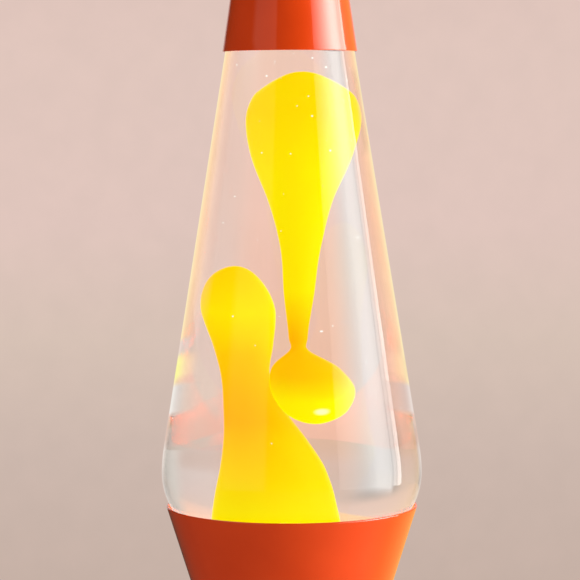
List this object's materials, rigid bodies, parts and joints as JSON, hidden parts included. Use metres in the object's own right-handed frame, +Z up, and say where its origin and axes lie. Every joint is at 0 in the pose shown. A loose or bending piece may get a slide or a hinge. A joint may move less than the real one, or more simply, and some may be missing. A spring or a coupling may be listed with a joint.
{
  "type": "lava lamp",
  "caption": "Lava lamp with a tapered glass bottle of clear liquid and yellow wax, an orange spun-metal hourglass base holding a reflector bulb, and an orange cap.",
  "frame": {"origin": "on the lamp's axis, on the surface that its rubber feet stand on", "axes": "+Z up along the lamp's axis, -Y towards the front, +Y towards the rear, where the cord inlet is"},
  "size_m": [0.11, 0.11, 0.43],
  "materials": {
    "orange_enamel": "high-gloss orange-red stoved enamel",
    "bottle_glass": "clear blown glass",
    "clear_liquid": "clear liquid",
    "wax": "warm yellow molten wax, lit from below",
    "tinned_steel": "bright tinned steel",
    "liner": "soft off-white liner",
    "coil_wire": "stainless wire",
    "plated_steel": "zinc-plated pressed steel",
    "screw_steel": "zinc-plated",
    "black_rubber": "matt black rubber",
    "brass_parts": "plain brass",
    "porcelain": "white glazed porcelain",
    "bulb_cap_metal": "bright aluminium",
    "bulb_glass": "glass, mirrored inside behind the dome",
    "bulb_insulation": "black glass",
    "tungsten": "glowing filament",
    "nylon": "natural nylon",
    "lead_brown": "insulated lead",
    "lead_blue": "insulated lead",
    "lead_green": "insulated lead, green and yellow"
  },
  "bodies": {
    "base": {"base_cup": "orange_enamel", "base_foot": "orange_enamel", "waist_screws": "screw_steel", "waist_nuts": "screw_steel", "bottle_seat_ring": "plated_steel", "base_plate": "plated_steel", "plate_lugs": "plated_steel", "plate_screws": "screw_steel", "rubber_feet": "black_rubber", "cord_grommet": "black_rubber", "holder_bracket": "plated_steel", "bracket_screws": "screw_steel", "holder_nipple": "plated_steel", "nipple_nut": "brass_parts", "lampholder_body": "porcelain", "lampholder_shell": "brass_parts", "lampholder_contact": "brass_parts", "terminal_block": "nylon", "terminal_inserts": "brass_parts", "terminal_screws": "screw_steel", "lead_live": "lead_brown", "lead_neutral": "lead_blue", "lead_earth": "lead_green", "earth_tag": "brass_parts", "earth_screw": "brass_parts"},
    "bottle": {"bottle_closure": "tinned_steel", "closure_liner": "liner", "glass_bottle": "bottle_glass", "liquid": "clear_liquid", "wax_mound": "wax", "wax_coil": "coil_wire"},
    "cap": {"top_cap": "orange_enamel"},
    "wax": {"wax_drop": "wax"},
    "bulb_cap": {"bulb_screw_cap": "bulb_cap_metal"},
    "bulb": {"bulb_envelope": "bulb_glass", "bulb_insulator": "bulb_insulation", "bulb_contact": "bulb_cap_metal", "bulb_stem": "bulb_glass", "bulb_support_wires": "screw_steel", "bulb_filament": "tungsten"}
  },
  "joints": [
    {"name": "bottle_lift", "type": "slide", "parent": "base", "child": "bottle", "axis": [0, 0, 1], "range_m": [0, 0.04]},
    {"name": "cap_lift", "type": "slide", "parent": "bottle", "child": "cap", "axis": [0, 0, 1], "range_m": [0, 0.065]},
    {"name": "wax_drift", "type": "slide", "parent": "bottle", "child": "wax", "axis": [0, 0, 1], "range_m": [0, 0.01], "deforming": ["liquid"]},
    {"name": "bulb_rise", "type": "slide", "parent": "base", "child": "bulb_cap", "axis": [0, 0, 1], "range_m": [0, 0.0142]},
    {"name": "bulb_turn", "type": "hinge", "parent": "bulb_cap", "child": "bulb", "pos_m": [0, 0, 0.06], "axis": [0, 0, 1], "range_deg": [0, 1800]}
  ],
  "couplings": [
    {"joint": "bulb_rise", "follows": "bulb_turn", "m_per_rad": 0.00044882}
  ]
}
